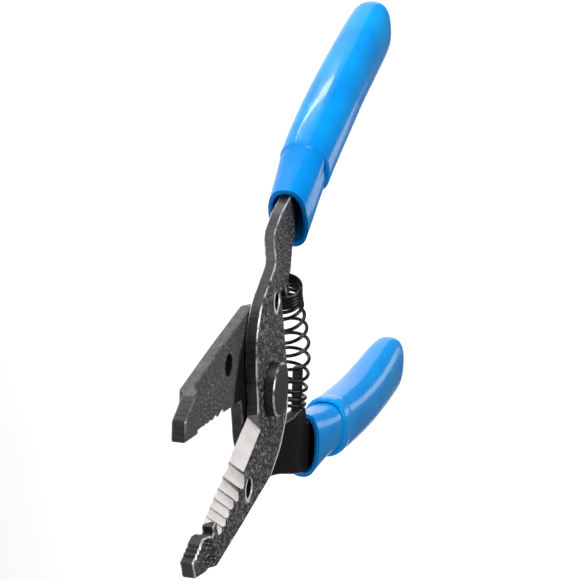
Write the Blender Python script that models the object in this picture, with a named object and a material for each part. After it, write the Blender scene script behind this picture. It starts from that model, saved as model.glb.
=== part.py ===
"""Spring-opened hand wire stripper with a serrated gripping nose and dipped vinyl grips.

The tool lies flat: +Z is the pivot axis, -X points along the jaws, +X along the handles.
Both levers are drawn in the closed position, where they mirror each other about the long
axis, and are then swung open about the pivot.  The rear lever is the front one rolled half
a turn about X.  All driving sizes below are in millimetres.
"""
import math

import bmesh
import bpy
from mathutils import Matrix, Vector

MM = 0.001

# ---- overall arrangement -------------------------------------------------------------------
HALF_OPEN_DEG = 14.2        # each lever's swing from closed to resting open
PLATE_T = 2.4               # thickness of the stamped lever plate
MATING_GAP = 0.15           # each plate stands this far off the mating plane
HANDLE_CROSS = 1.35         # handle mid-plane lies this far past the mating plane
REAR_HEAD_H = 1.5           # formed tail of the rivet
HEAD_CLEAR = 0.15           # running clearance under both rivet heads
MATING_Z = MATING_GAP + PLATE_T + HEAD_CLEAR + REAR_HEAD_H   # mating plane above the rear face

# ---- nose and blade --------------------------------------------------------------------------
TIP_X = -49.4
# the nose is joggled back to the mating plane between these, on the inner and outer face
NOSE_BEND = ((-42.6, -40.9), (-43.1, -42.2))
NOSE_SWELL = 0.12           # the pressed nose comes out this much thicker than the plate
GRIP_Y = -0.05              # serrated gripping face, just short of the centre line
GROOVES = (-45.1, -46.35, -47.6)   # serration bottoms in the gripping face
GROOVE_HALF_W = 0.42
SERRATION_DEPTH = 0.45
GRIP_START_X = -42.0
POCKET_Y = -0.9             # relief between the blade and the gripping face
EDGE_Y = 0.43               # cutting edges pass each other by twice this
EDGE_LAND = 0.12            # flat left at the very edge by the grind
BEVEL_TOP_Y = -3.0          # where the ground bevel runs out on the outer face
# (tip end, pivot end) of the bevel at the edge and at the top
BEVEL_ENDS = {"front": ((-40.3, -9.7), (-38.0, -9.2)), "rear": ((-40.3, -11.9), (-38.0, -11.4))}
# stripping notches: centre x, depth and half width at the edge, depth and half width at the top
NOTCHES = (
    (-24.15, 1.00, 1.85, 2.90, 2.10),
    (-27.90, 0.75, 1.50, 2.70, 1.65),
    (-30.90, 0.50, 1.15, 1.70, 1.45),
    (-33.50, 0.42, 1.05, 1.30, 1.35),
    (-35.87, 0.36, 0.95, 1.25, 1.25),
    (-38.15, 0.30, 0.85, 0.95, 1.10),
)
NOTCH_SKEW = 0.9            # the grinds drift this far toward the pivot across the bevel
NOTCH_LEAN = 0.6            # below 1 the deepest point sits toward the pivot side

# ---- lever body and tang ---------------------------------------------------------------------
HANDLE_BEND = (13.2, 21.5)  # the handle is joggled through the mating plane between these
PIVOT_HOLE_R = 2.8
# wire-looping hole in the jaw: x, y, radius
LOOP_HOLE = {"front": (-19.9, -8.9, 2.0), "rear": (-20.6, -8.5, 2.0)}
NECK_HOLE = (10.9, 14.3, 1.9)     # hole in the neck beside the spring
TANG_END_X = 109.0
PEG_X = 26.2                # spring peg centre along the handle
PEG_HALF_W = 1.3
PEG_TIP_Y = {"front": 4.0, "rear": 0.3}
PEG_T = 1.8                 # the pegs are coined thinner than the plate to enter the coil
SEAT = {"front": 7.8, "rear": 9.8}     # height of the spring seat above the centre line

# ---- pivot rivet -----------------------------------------------------------------------------
HEAD_R = 5.55
HEAD_H = 2.1
SHANK_R = 2.75
REAR_HEAD_R = 5.2
RIM_ROUND = 0.45

# ---- return spring ---------------------------------------------------------------------------
WIRE_R = 0.4
COIL_R = 3.55               # to the wire centre
SPRING_SEAT_GAP = 0.7       # wire centre above each seat
SPRING_END_Z = {"front": -0.85, "rear": 0.75}  # coil centre height at each seat, lever frame
# centre line of the bowed spring between its two ends: x, y, z with the tool resting open
SPRING_BOW = ((24.9, 9.3, -1.15), (25.9, 4.0, -0.8), (26.1, -0.5, -0.25), (25.7, -5.5, -0.1),
              (24.9, -10.2, -0.45))
COIL_LEAN_DEG = 9           # the middle coils lean over while the bow is loaded sideways
# advance of each turn measured on the side away from the pivot plane, front lever to rear
TURN_PITCH = (0.95, 0.95, 0.95, 1.05, 1.3, 3.0, 3.15, 3.2, 3.3, 3.2, 3.1, 2.0, 1.3)
FIRST_PART_TURN = (0.75, 0.85)     # turns and advance before the first of those
LAST_PART_TURN = (0.4, 0.5)        # and after the last one

# ---- dipped grips ----------------------------------------------------------------------------
STEP_X = 51.0               # the second dip starts here
GRIP_END_X = {"front": 128.7, "rear": 132.2}
OVAL_POWER = 2.5            # superellipse power of the grip section
LAYER_GAP = 0.15
# grip outer surface at stations along the handle:
# x, centre y, half width, half thickness, centre height above the tang's mid-plane
FIRST_DIP = {
    "front": ((34.2, 17.7, 7.0, 4.05, 0.15), (35.0, 17.75, 7.2, 4.3, 0.15),
              (38.6, 18.2, 6.85, 4.5, 0.1), (44.3, 18.95, 6.3, 4.7, 0.0),
              (50.7, 19.8, 6.1, 4.85, -0.15)),
    "rear": ((31.1, 19.4, 7.1, 3.55, 0.0), (31.9, 19.45, 7.25, 3.8, 0.0),
             (35.9, 19.4, 6.75, 4.05, 0.0), (43.0, 19.3, 5.95, 4.5, 0.0),
             (50.7, 19.6, 5.9, 4.8, 0.0)),
}
SECOND_DIP = {
    "front": ((51.0, 20.0, 6.45, 5.3, -0.15), (52.2, 20.1, 6.75, 5.65, -0.2),
              (60.0, 20.5, 6.7, 5.85, -0.25), (72.0, 20.7, 6.7, 6.0, -0.25),
              (86.0, 20.5, 6.9, 5.9, -0.25), (100.0, 19.7, 7.25, 5.75, -0.25),
              (112.0, 18.8, 7.7, 5.5, -0.25), (118.0, 18.35, 7.7, 5.3, -0.25)),
    "rear": ((51.0, 19.75, 6.6, 5.1, 0.0), (52.2, 19.8, 7.1, 5.35, 0.0),
             (60.0, 20.2, 7.05, 5.5, 0.0), (72.0, 20.4, 7.05, 5.6, 0.0),
             (86.0, 20.2, 7.25, 5.5, 0.0), (100.0, 19.3, 7.65, 5.3, 0.0),
             (112.0, 18.35, 8.15, 4.95, 0.0), (118.0, 17.9, 8.2, 4.7, 0.0)),
}
DIP_WALL = 0.85             # vinyl left outside the first dip or the tang cavity
RING = 24                   # points round a grip section


# ---- scene helpers ---------------------------------------------------------------------------
def clear_scene():
    for ob in list(bpy.data.objects):
        bpy.data.objects.remove(ob, do_unlink=True)


def new_collection(name):
    col = bpy.data.collections.new(name)
    bpy.context.scene.collection.children.link(col)
    return col


def steel(name, colour, rough, metal=1.0):
    mat = bpy.data.materials.new(name)
    mat.use_nodes = True
    bsdf = mat.node_tree.nodes["Principled BSDF"]
    bsdf.inputs["Base Color"].default_value = (*colour, 1.0)
    bsdf.inputs["Roughness"].default_value = rough
    bsdf.inputs["Metallic"].default_value = metal
    return mat


def object_from_bmesh(bm, name, collection, material=None):
    bmesh.ops.recalc_face_normals(bm, faces=bm.faces)
    mesh = bpy.data.meshes.new(name)
    bm.to_mesh(mesh)
    bm.free()
    ob = bpy.data.objects.new(name, mesh)
    collection.objects.link(ob)
    if material:
        mesh.materials.append(material)
    return ob


def scale_to_metres(ob):
    ob.data.transform(Matrix.Scale(MM, 4))


# ---- flat outline helpers --------------------------------------------------------------------
def rounded(corners):
    """Closed outline from (x, y, radius) corners, each radius drawn as a short arc."""
    out = []
    for i, (x, y, r) in enumerate(corners):
        here = Vector((x, y))
        back = Vector(corners[i - 1][:2]) - here
        ahead = Vector(corners[(i + 1) % len(corners)][:2]) - here
        turn = math.pi - back.angle(ahead)
        if r <= 0 or turn < 0.02:
            out.append(here)
            continue
        reach = min(r * math.tan(turn / 2), 0.48 * back.length, 0.48 * ahead.length)
        r = reach / math.tan(turn / 2)
        start, end = here + back.normalized() * reach, here + ahead.normalized() * reach
        centre = here + (back.normalized() + ahead.normalized()).normalized() * (
            r / math.cos(turn / 2))
        steps = max(1, round(turn / math.radians(18)))
        a, b = start - centre, end - centre
        swing = a.angle_signed(b) * -1.0
        for k in range(steps + 1):
            out.append(centre + Matrix.Rotation(swing * k / steps, 2) @ a)
    return out


def serrated_grip():
    """Gripping face from the nose root to the tip: a plain land, then V grooves."""
    pts = [(GRIP_START_X, GRIP_Y, 0.2)]
    for x in GROOVES:
        pts += [(x + GROOVE_HALF_W, GRIP_Y, 0), (x, GRIP_Y - SERRATION_DEPTH, 0),
                (x - GROOVE_HALF_W, GRIP_Y, 0)]
    return pts


def jaw_back():
    """Outer edge of the jaw from the nose root round the pivot boss."""
    return [(-41.9, -8.1, 2.0), (-26.0, -12.6, 20), (-6.6, -17.7, 5), (1.2, -17.0, 9),
            (8.8, -13.2, 7), (11.8, -5.0, 8), (12.5, 1.0, 8)]


def throat(side):
    """Inner edge from the handle root down to the blade; the rear one is cut back less."""
    if side == "front":
        return [(-7.0, 9.0, 12), (-8.2, 3.5, 6), (-8.9, 1.7, 0.6), (-9.8, EDGE_Y, 0)]
    return [(-9.2, 9.0, 8), (-10.7, 3.5, 6), (-11.3, 1.7, 0.6), (-12.0, EDGE_Y, 0)]


def neck_back(side):
    """Outer edge of the tang where it leaves the grip mouth."""
    if side == "front":
        return [(37.0, 23.2, 12), (28.0, 23.8, 8)]
    return [(37.0, 23.5, 8), (30.3, 25.3, 3)]


def neck_front(side):
    """Inner edge of the tang from the spring seat up into the grip mouth."""
    if side == "front":
        return [(29.4, SEAT[side], 0.6), (33.0, 12.55, 1.5)]
    return [(28.7, SEAT[side], 0.4), (30.4, 13.7, 0.8)]


def lever_outline(side):
    """Lever blank in the closed position, handle toward +Y, listed round the outline."""
    seat, tip = SEAT[side], PEG_TIP_Y[side]
    return rounded(
        [(TIP_X, GRIP_Y, 0.3), (TIP_X, -3.9, 0.8), (-44.6, -7.2, 3)]
        + jaw_back()
        + [(14.0, 7.0, 6), (15.0, 11.4, 1.2), (20.5, 10.4, 2), (22.6, seat, 0.6),
           (PEG_X - PEG_HALF_W, seat, 0.2), (PEG_X - PEG_HALF_W, tip, 0.9),
           (PEG_X + PEG_HALF_W, tip, 0.9), (PEG_X + PEG_HALF_W, seat, 0.2),
           *neck_front(side), (38.0, 14.3, 5),
           (60.0, 16.7, 30), (TANG_END_X, 15.8, 3), (TANG_END_X, 22.6, 3), (60.0, 24.3, 30),
           *neck_back(side), (16.5, 22.2, 10), (9.0, 21.3, 10),
           (1.0, 20.3, 9), (-4.2, 16.0, 9), *throat(side),
           (-40.4, EDGE_Y, 0), (-40.6, POCKET_Y, 0.15), (-41.6, POCKET_Y, 0.15)]
        + serrated_grip())


# ---- solids ----------------------------------------------------------------------------------
def prism(outline, z0, z1):
    """Straight-sided solid over a flat outline."""
    bm = bmesh.new()
    low = [bm.verts.new((p[0], p[1], z0)) for p in outline]
    high = [bm.verts.new((p[0], p[1], z1)) for p in outline]
    bm.faces.new(low)
    bm.faces.new(list(reversed(high)))
    for i in range(len(low)):
        j = (i + 1) % len(low)
        bm.faces.new((low[i], high[i], high[j], low[j]))
    return bm


def hexahedron(low, high):
    """Six-faced solid from two matching rings of four points."""
    bm = bmesh.new()
    a = [bm.verts.new(p) for p in low]
    b = [bm.verts.new(p) for p in high]
    bm.faces.new(a)
    bm.faces.new(list(reversed(b)))
    for i in range(4):
        j = (i + 1) % 4
        bm.faces.new((a[i], b[i], b[j], a[j]))
    return bm


def rod(start, end, radius, segments):
    """Round bar between two points."""
    start, end = Vector(start), Vector(end)
    bm = bmesh.new()
    bmesh.ops.create_cone(bm, cap_ends=True, segments=segments, radius1=radius, radius2=radius,
                          depth=(end - start).length)
    spin = Vector((0, 0, 1)).rotation_difference(end - start).to_matrix().to_4x4()
    bm.transform(Matrix.Translation((start + end) / 2) @ spin)
    return bm


def cutter(bm, name, collection):
    ob = object_from_bmesh(bm, name, collection)
    ob.hide_render = True
    ob.display_type = "WIRE"
    return ob


def cut_away(ob, tools):
    """Subtract each tool from the body and keep the result as plain mesh."""
    for tool in tools:
        mod = ob.modifiers.new(tool.name, "BOOLEAN")
        mod.operation = "DIFFERENCE"
        mod.solver = "EXACT"
        mod.object = tool
    graph = bpy.context.evaluated_depsgraph_get()
    mesh = bpy.data.meshes.new_from_object(ob.evaluated_get(graph))
    ob.modifiers.clear()
    ob.data = mesh


def bevel_cutter(side):
    """Wedge that grinds the long bevel, tapering off at both ends."""
    run = (BEVEL_TOP_Y - EDGE_Y) / (PLATE_T - EDGE_LAND)
    z_low, z_high = EDGE_LAND - 0.5, PLATE_T + 0.6
    y_low = EDGE_Y + run * (z_low - EDGE_LAND)
    y_high = EDGE_Y + run * (z_high - EDGE_LAND)
    (tip_e, piv_e), (tip_t, piv_t) = BEVEL_ENDS[side]
    low = [(tip_e, y_low, z_low), (piv_e, y_low, z_low),
           (piv_e, y_low + 8, z_low), (tip_e, y_low + 8, z_low)]
    high = [(tip_t, y_high, z_high), (piv_t, y_high, z_high),
            (piv_t, y_high + 12, z_high), (tip_t, y_high + 12, z_high)]
    return hexahedron(low, high)


def notch_cutter(x, edge_depth, edge_w, top_depth, top_w, points=10):
    """Lopsided grinding track lying in the bevel, deeper and wider toward the outer face."""
    rings = []
    for z in (-0.5, PLATE_T + 0.6):
        f = z / PLATE_T
        xc, y0 = x + NOTCH_SKEW * (f - 0.5), EDGE_Y + (BEVEL_TOP_Y - EDGE_Y) * f
        depth, half = edge_depth + (top_depth - edge_depth) * f, edge_w + (top_w - edge_w) * f
        ring = [(xc + half - 2 * half * k / points,
                 y0 - depth * math.sin(math.pi * (k / points) ** NOTCH_LEAN), z)
                for k in range(points + 1)]
        rings.append(ring + [(xc - half, y0 + 6, z), (xc + half, y0 + 6, z)])
    bm = bmesh.new()
    low, high = ([bm.verts.new(p) for p in ring] for ring in rings)
    bm.faces.new(low)
    bm.faces.new(list(reversed(high)))
    for i in range(len(low)):
        j = (i + 1) % len(low)
        bm.faces.new((low[i], high[i], high[j], low[j]))
    bmesh.ops.triangulate(bm, faces=bm.faces[:])
    return bm


def share(value, start, end):
    return min(1.0, max(0.0, (value - start) / (end - start)))


def bend_at(depth, end):
    """Where one nose bend line crosses the plate at a depth from the inner face."""
    inner, outer = NOSE_BEND[0][end], NOSE_BEND[1][end]
    return inner + (outer - inner) * depth / PLATE_T


def joggle(z, x):
    """Shift the plate sideways: nose centred, boss against the mating plane, tang crossed."""
    boss = MATING_GAP + PLATE_T / 2
    body = share(x, bend_at(z, 0), bend_at(z, 1))
    swell = (z - PLATE_T / 2) * NOSE_SWELL * (1 - body)
    return (z + swell - PLATE_T / 2 + boss * body
            - (boss + HANDLE_CROSS) * share(x, *HANDLE_BEND))


def build_lever(side, parts, cutters, material):
    body = object_from_bmesh(prism(lever_outline(side), 0.0, PLATE_T), side + "_lever", parts,
                             material)
    tools = [cutter(rod((0, 0, -1), (0, 0, PLATE_T + 1), PIVOT_HOLE_R, 40),
                    side + "_pivot_hole", cutters)]
    for label, (x, y, r) in (("loop", LOOP_HOLE[side]), ("neck", NECK_HOLE)):
        tools.append(cutter(rod((x, y, -1), (x, y, PLATE_T + 1), r, 24),
                            side + "_" + label + "_hole", cutters))
    tools.append(cutter(bevel_cutter(side), side + "_bevel", cutters))
    tools.append(cutter(hexahedron(*[[(PEG_X - 2.5, -0.5, z), (PEG_X + 2.5, -0.5, z),
                                      (PEG_X + 2.5, SEAT[side] - 0.2, z),
                                      (PEG_X - 2.5, SEAT[side] - 0.2, z)]
                                     for z in (-1.0, PLATE_T - PEG_T)]),
                        side + "_peg_coining", cutters))
    for k, notch in enumerate(NOTCHES, 1):
        tools.append(cutter(notch_cutter(*notch), side + "_notch_%d" % k, cutters))
    cut_away(body, tools)
    bm = bmesh.new()
    bm.from_mesh(body.data)
    folds = [(NOSE_BEND[0][end], NOSE_BEND[1][end]) for end in (0, 1)]
    for inner, outer in folds + [(x, x) for x in HANDLE_BEND]:
        bmesh.ops.bisect_plane(bm, geom=bm.verts[:] + bm.edges[:] + bm.faces[:],
                               plane_co=(inner, 0, 0), plane_no=(PLATE_T, 0, inner - outer),
                               dist=1e-5)
    for v in bm.verts:
        v.co.z = joggle(v.co.z, v.co.x)
    bmesh.ops.remove_doubles(bm, verts=bm.verts, dist=1e-4)
    bmesh.ops.triangulate(bm, faces=[f for f in bm.faces if len(f.verts) > 4])
    bm.to_mesh(body.data)
    bm.free()
    return body


def turned(profile, segments):
    """Solid of revolution about Z from (radius, z) points that start and end on the axis."""
    bm = bmesh.new()
    rings = []
    for r, z in profile:
        if r == 0:
            rings.append([bm.verts.new((0, 0, z))])
        else:
            rings.append([bm.verts.new((r * math.cos(2 * math.pi * k / segments),
                                        r * math.sin(2 * math.pi * k / segments), z))
                          for k in range(segments)])
    for lower, upper in zip(rings, rings[1:]):
        for k in range(segments):
            j = (k + 1) % segments
            quad = [lower[k % len(lower)], lower[j % len(lower)],
                    upper[j % len(upper)], upper[k % len(upper)]]
            bm.faces.new(list(dict.fromkeys(quad)))
    return bm


def build_rivet(parts, material):
    """One rivet: thick button head in front, shank, and the formed tail behind."""
    top = MATING_GAP + PLATE_T + HEAD_CLEAR
    face, tail = top + HEAD_H, -top - REAR_HEAD_H
    c = RIM_ROUND
    profile = [(0, tail), (REAR_HEAD_R - c, tail), (REAR_HEAD_R - 0.3 * c, tail + 0.3 * c),
               (REAR_HEAD_R, tail + c), (REAR_HEAD_R, -top), (SHANK_R, -top), (SHANK_R, top),
               (HEAD_R, top), (HEAD_R, face - c), (HEAD_R - 0.3 * c, face - 0.3 * c),
               (HEAD_R - c, face), (0, face)]
    return object_from_bmesh(turned(profile, 40), "pivot_rivet", parts, material)


def smooth_path(points, count):
    """Evenly spaced points on a Catmull-Rom curve through the given ones."""
    pts = [Vector(p) for p in points]
    pts = [pts[0] * 2 - pts[1]] + pts + [pts[-1] * 2 - pts[-2]]
    dense = []
    for a, b, c, d in zip(pts, pts[1:], pts[2:], pts[3:]):
        for k in range(24):
            t = k / 24
            dense.append(0.5 * (2 * b + (c - a) * t + (2 * a - 5 * b + 4 * c - d) * t * t
                                + (3 * b - a - 3 * c + d) * t ** 3))
    dense.append(pts[-2])
    lengths = [0.0]
    for a, b in zip(dense, dense[1:]):
        lengths.append(lengths[-1] + (b - a).length)
    out, i = [], 0
    for k in range(count + 1):
        s = lengths[-1] * k / count
        while i < len(dense) - 2 and lengths[i + 1] < s:
            i += 1
        f = (s - lengths[i]) / max(lengths[i + 1] - lengths[i], 1e-9)
        out.append(dense[i].lerp(dense[i + 1], min(max(f, 0.0), 1.0)))
    return out, lengths[-1]


def opened(side, x, y, z):
    """Closed-position point carried to the resting open position."""
    turn = math.radians(HALF_OPEN_DEG)
    if side == "rear":
        y, z, turn = -y, -z, -turn
    c, s = math.cos(turn), math.sin(turn)
    return (c * x - s * y, s * x + c * y, z)


def build_spring(parts, material):
    """Bowed compression coil, close wound at both ends, seated over the two pegs."""
    front, rear = (opened(side, PEG_X, SEAT[side] - SPRING_SEAT_GAP, SPRING_END_Z[side])
                   for side in ("front", "rear"))
    path, _ = smooth_path([front, *SPRING_BOW, rear], 400)
    marks = [(0.0, 0.0), FIRST_PART_TURN]
    for pitch in TURN_PITCH:
        marks.append((marks[-1][0] + 1, marks[-1][1] + pitch))
    marks.append((marks[-1][0] + LAST_PART_TURN[0], marks[-1][1] + LAST_PART_TURN[1]))
    turns, advance = marks[-1]
    steps, sides = int(turns * 16), 6

    def along_path(turn):
        for (t0, s0), (t1, s1) in zip(marks, marks[1:]):
            if turn <= t1:
                return (s0 + (s1 - s0) * (turn - t0) / (t1 - t0)) / advance
        return 1.0

    centres = []
    for k in range(steps + 1):
        turn = turns * k / steps
        s = along_path(turn) * 400
        i = min(int(s), 399)
        here = path[i].lerp(path[i + 1], s - i)
        tangent = (path[min(i + 2, 400)] - path[max(i - 1, 0)]).normalized()
        lean = math.radians(COIL_LEAN_DEG) * math.sin(math.pi * s / 400)
        tangent.rotate(Matrix.Rotation(lean, 3, "Z"))
        across = tangent.cross(Vector((0, 0, 1))).normalized()
        up = across.cross(tangent)
        a = -2 * math.pi * turn
        centres.append(here + (across * math.cos(a) + up * math.sin(a)) * COIL_R)
    bm = bmesh.new()
    rings = []
    for k, c in enumerate(centres):
        along = (centres[min(k + 1, steps)] - centres[max(k - 1, 0)]).normalized()
        axis = path[min(int(along_path(turns * k / steps) * 400), 400)]
        side = (c - axis) - along * (c - axis).dot(along)
        side.normalize()
        other = along.cross(side)
        rings.append([bm.verts.new(c + (side * math.cos(2 * math.pi * j / sides)
                                        + other * math.sin(2 * math.pi * j / sides)) * WIRE_R)
                      for j in range(sides)])
    bm.faces.new(rings[0])
    bm.faces.new(list(reversed(rings[-1])))
    for a, b in zip(rings, rings[1:]):
        for j in range(sides):
            k = (j + 1) % sides
            bm.faces.new((a[j], a[k], b[k], b[j]))
    return object_from_bmesh(bm, "return_spring", parts, material)


def oval(x, yc, half_w, half_t, lift):
    """Superellipse ring across the handle, centred on the crossed-over tang."""
    pts = []
    for k in range(RING):
        a = 2 * math.pi * k / RING
        c, s = math.cos(a), math.sin(a)
        pts.append(Vector((x, yc + half_w * math.copysign(abs(c) ** (2 / OVAL_POWER), c),
                           lift - HANDLE_CROSS
                           + half_t * math.copysign(abs(s) ** (2 / OVAL_POWER), s))))
    return pts


def rounded_end(last, end_x, steps=5):
    """Stations that close a grip like the end of an egg."""
    x0, yc, w, t, lift = last
    out = []
    for k in range(1, steps + 1):
        a = math.pi / 2 * k / (steps + 0.35)
        out.append((x0 + (end_x - x0) * math.sin(a), yc - 0.5 * math.sin(a),
                    w * math.cos(a) ** 0.9, t * math.cos(a) ** 0.9, lift))
    return out


def shrunk(stations, wall):
    return [(x, yc, w - wall, t - wall, lift) for x, yc, w, t, lift in stations]


def sleeve(name, outer, inner, parts, material):
    """Closed-ended sock: outer stations to the end, then the cavity back to the mouth."""
    bm = bmesh.new()
    skin = [[bm.verts.new(p) for p in oval(*s)] for s in outer]
    bore = [[bm.verts.new(p) for p in oval(*s)] for s in inner]
    rings = list(reversed(bore)) + skin
    for a, b in zip(rings, rings[1:]):
        for k in range(RING):
            j = (k + 1) % RING
            bm.faces.new((a[k], a[j], b[j], b[k]))
    bm.faces.new(rings[0])
    bm.faces.new(list(reversed(rings[-1])))
    bmesh.ops.triangulate(bm, faces=[f for f in bm.faces if len(f.verts) > 4])
    return object_from_bmesh(bm, name, parts, material)


def build_grips(side, parts, vinyl_inner, vinyl_outer):
    """Two dipped coats: a first dip up to the mouth and a thicker second dip over most of it."""
    mouth, coat = FIRST_DIP[side], SECOND_DIP[side]
    under = shrunk(coat[1:], DIP_WALL + LAYER_GAP)
    first = list(mouth) + [(STEP_X + 0.2, *under[0][1:])] + under
    first += rounded_end(under[-1], GRIP_END_X[side] - DIP_WALL - 2.2)
    tang_bore = shrunk(mouth, DIP_WALL) + shrunk(under[1:-1], 0.9)
    first_ob = sleeve(side + "_grip_first_dip", first, tang_bore, parts, vinyl_inner)
    second = list(coat) + rounded_end(coat[-1], GRIP_END_X[side], 6)
    cover = shrunk(coat[:1], 0.3) + shrunk(coat[1:], DIP_WALL)
    cover += rounded_end(cover[-1], GRIP_END_X[side] - DIP_WALL - 1.9)
    second_ob = sleeve(side + "_grip_second_dip", second, cover, parts, vinyl_outer)
    return [first_ob, second_ob]


def swing_open(side, ob):
    """Place a lever-borne piece: roll the rear one over, then swing it open on the pivot."""
    if side == "rear":
        ob.data.transform(Matrix.Rotation(math.pi, 4, "X"))
    ob.location = (0, 0, MATING_Z * MM)
    ob.rotation_euler = (0, 0, math.radians(HALF_OPEN_DEG if side == "front"
                                            else -HALF_OPEN_DEG))


def main():
    clear_scene()
    parts, cutters = new_collection("wire_stripper"), new_collection("cutters")
    black = steel("black_oxide_steel", (0.035, 0.035, 0.038), 0.45, 0.9)
    rear_black = steel("black_oxide_steel_rear", (0.033, 0.033, 0.036), 0.47, 0.9)
    rivet_steel = steel("rivet_steel", (0.028, 0.028, 0.03), 0.38, 0.9)
    spring_steel = steel("oiled_spring_wire", (0.03, 0.03, 0.03), 0.3, 0.9)
    for side, metal in (("front", black), ("rear", rear_black)):
        thin = steel(side + "_first_dip_vinyl", (0.01, 0.20, 0.66), 0.22, 0.0)
        thick = steel(side + "_second_dip_vinyl", (0.012, 0.24, 0.74), 0.2, 0.0)
        pieces = [build_lever(side, parts, cutters, metal)] + build_grips(side, parts, thin,
                                                                          thick)
        for ob in pieces:
            scale_to_metres(ob)
            swing_open(side, ob)
    for ob in (build_rivet(parts, rivet_steel), build_spring(parts, spring_steel)):
        scale_to_metres(ob)
        ob.location = (0, 0, MATING_Z * MM)
    bpy.context.view_layer.update()


main()
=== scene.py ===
"""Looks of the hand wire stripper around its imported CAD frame.

Each piece is drawn in millimetres with both levers closed, then swung to the resting open pose
and moved to the row frame: +Z is the pivot axis, -X points along the jaws, +X along the handles.
"""

import math

import bmesh
import bpy
from mathutils import Matrix, Vector


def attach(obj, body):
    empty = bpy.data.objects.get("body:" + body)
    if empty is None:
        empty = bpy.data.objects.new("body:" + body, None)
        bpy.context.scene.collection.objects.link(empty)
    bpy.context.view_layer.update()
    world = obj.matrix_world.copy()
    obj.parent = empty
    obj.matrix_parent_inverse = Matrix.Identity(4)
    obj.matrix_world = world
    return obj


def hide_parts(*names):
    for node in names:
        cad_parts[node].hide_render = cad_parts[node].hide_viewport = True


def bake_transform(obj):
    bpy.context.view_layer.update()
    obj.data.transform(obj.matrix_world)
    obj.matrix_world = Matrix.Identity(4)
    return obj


MM = 0.001
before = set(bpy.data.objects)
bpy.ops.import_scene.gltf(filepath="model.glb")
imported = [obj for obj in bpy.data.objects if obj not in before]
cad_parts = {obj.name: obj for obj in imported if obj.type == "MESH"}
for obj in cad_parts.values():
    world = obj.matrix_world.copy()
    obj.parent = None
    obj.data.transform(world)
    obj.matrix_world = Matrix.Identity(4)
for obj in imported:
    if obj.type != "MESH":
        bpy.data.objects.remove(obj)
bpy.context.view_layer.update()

# ---- arrangement, as in the CAD source -------------------------------------------------------
HALF_OPEN_DEG = 14.2
PLATE_T = 2.4
MATING_GAP = 0.15
HANDLE_CROSS = 1.35
REAR_HEAD_H = 1.5
HEAD_CLEAR = 0.15
MATING_Z = MATING_GAP + PLATE_T + HEAD_CLEAR + REAR_HEAD_H

TIP_X = -49.4
# the nose is joggled back to the mating plane between these, on the inner and outer face
NOSE_BEND = ((-42.6, -40.9), (-43.1, -42.2))
NOSE_SWELL = 0.12           # the pressed nose comes out this much thicker than the plate
GRIP_Y = -0.05              # serrated gripping face, just short of the centre line
GROOVES = (-45.1, -46.35, -47.6)   # serration bottoms in the gripping face
GROOVE_HALF_W = 0.42
SERRATION_DEPTH = 0.45
GRIP_START_X = -42.0
POCKET_Y = -0.9             # relief between the blade and the gripping face
EDGE_Y = 0.43               # cutting edges pass each other by twice this
EDGE_LAND = 0.12            # flat left at the very edge by the grind
BEVEL_TOP_Y = -3.0          # where the ground bevel runs out on the outer face
# (tip end, pivot end) of the bevel at the edge and at the top
BEVEL_ENDS = {"front": ((-40.3, -9.7), (-38.0, -9.2)), "rear": ((-40.3, -11.9), (-38.0, -11.4))}
# stripping notches: centre x, depth and half width at the edge, depth and half width at the top;
# the centres are midpoints between notch cusps that the same fit as the camera's put there
NOTCHES = (
    (-24.15, 1.00, 1.85, 2.90, 2.10),
    (-27.90, 0.75, 1.50, 2.70, 1.65),
    (-30.90, 0.50, 1.15, 1.70, 1.45),
    (-33.50, 0.42, 1.05, 1.30, 1.35),
    (-35.87, 0.36, 0.95, 1.25, 1.25),
    (-38.15, 0.30, 0.85, 0.95, 1.10),
)
NOTCH_SKEW = 0.9            # the grinds drift this far toward the pivot across the bevel
NOTCH_LEAN = 0.6            # below 1 the deepest point sits toward the pivot side

HANDLE_BEND = (13.2, 21.5)  # the handle is joggled through the mating plane between these
PIVOT_HOLE_R = 2.8
# wire-looping hole in the jaw: x, y, radius
LOOP_HOLE = {"front": (-19.9, -8.9, 2.0), "rear": (-20.6, -8.5, 2.0)}
NECK_HOLE = (10.9, 14.3, 1.9)     # hole in the neck beside the spring
TANG_END_X = 109.0
PEG_X = 26.2                # spring peg centre along the handle
PEG_HALF_W = 1.3
PEG_TIP_Y = {"front": 4.0, "rear": 0.3}
PEG_T = 1.8                 # the pegs are coined thinner than the plate to enter the coil
SEAT = {"front": 7.8, "rear": 9.8}     # height of the spring seat above the centre line

CHAMFER = 0.26              # broken edge round each stamping
RIM_HIGHLIGHT_W = 0.75             # painted highlight: a bright line along the back rim of the front jaw
RIM_HIGHLIGHT_TIP_X = -24.0        # the painted highlight line starts here and stays below the height set next
RIM_HIGHLIGHT_TOP_Y = -2.0
RIM_HIGHLIGHT_RISE = 0.008         # the painted highlight strip stands this far off the black plate
HOLE_HIGHLIGHT_R = 0.95           # outer edge of the painted highlight arcs beside the holes, beyond the hole
HOLE_HIGHLIGHT_DEG = range(84, 265, 6)       # spokes of those arcs
SHADED_WALL_NORMAL_X = -0.78      # ground faces leaning further than this are a notch's steep side, painted darker as shade
EDGE_SLOT, WALL_SLOT = 1, 3            # material slots of the bare edge, painted as a highlight, and the sheared wall
NOSE_ROUND, HANDLE_ROUND = 0.3, 2.2    # half length of the rounding at each bend

HEAD_R, HEAD_H, SHANK_R, REAR_HEAD_R, RIM_ROUND = 5.55, 2.1, 2.75, 5.2, 0.45
RIVET_FLAT_R = 3.2          # ring of points inside the head's flat face

WIRE_R = 0.4
WIRE_SIDES = 14
STEPS_PER_TURN = 40
PATH_STEPS = 800            # fine steps along the centre line
COIL_R = 3.55               # to the wire centre
SPRING_SEAT_GAP = 0.7       # wire centre above each seat
SPRING_END_Z = {"front": -0.85, "rear": 0.75}  # coil centre height at each seat, lever frame
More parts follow.
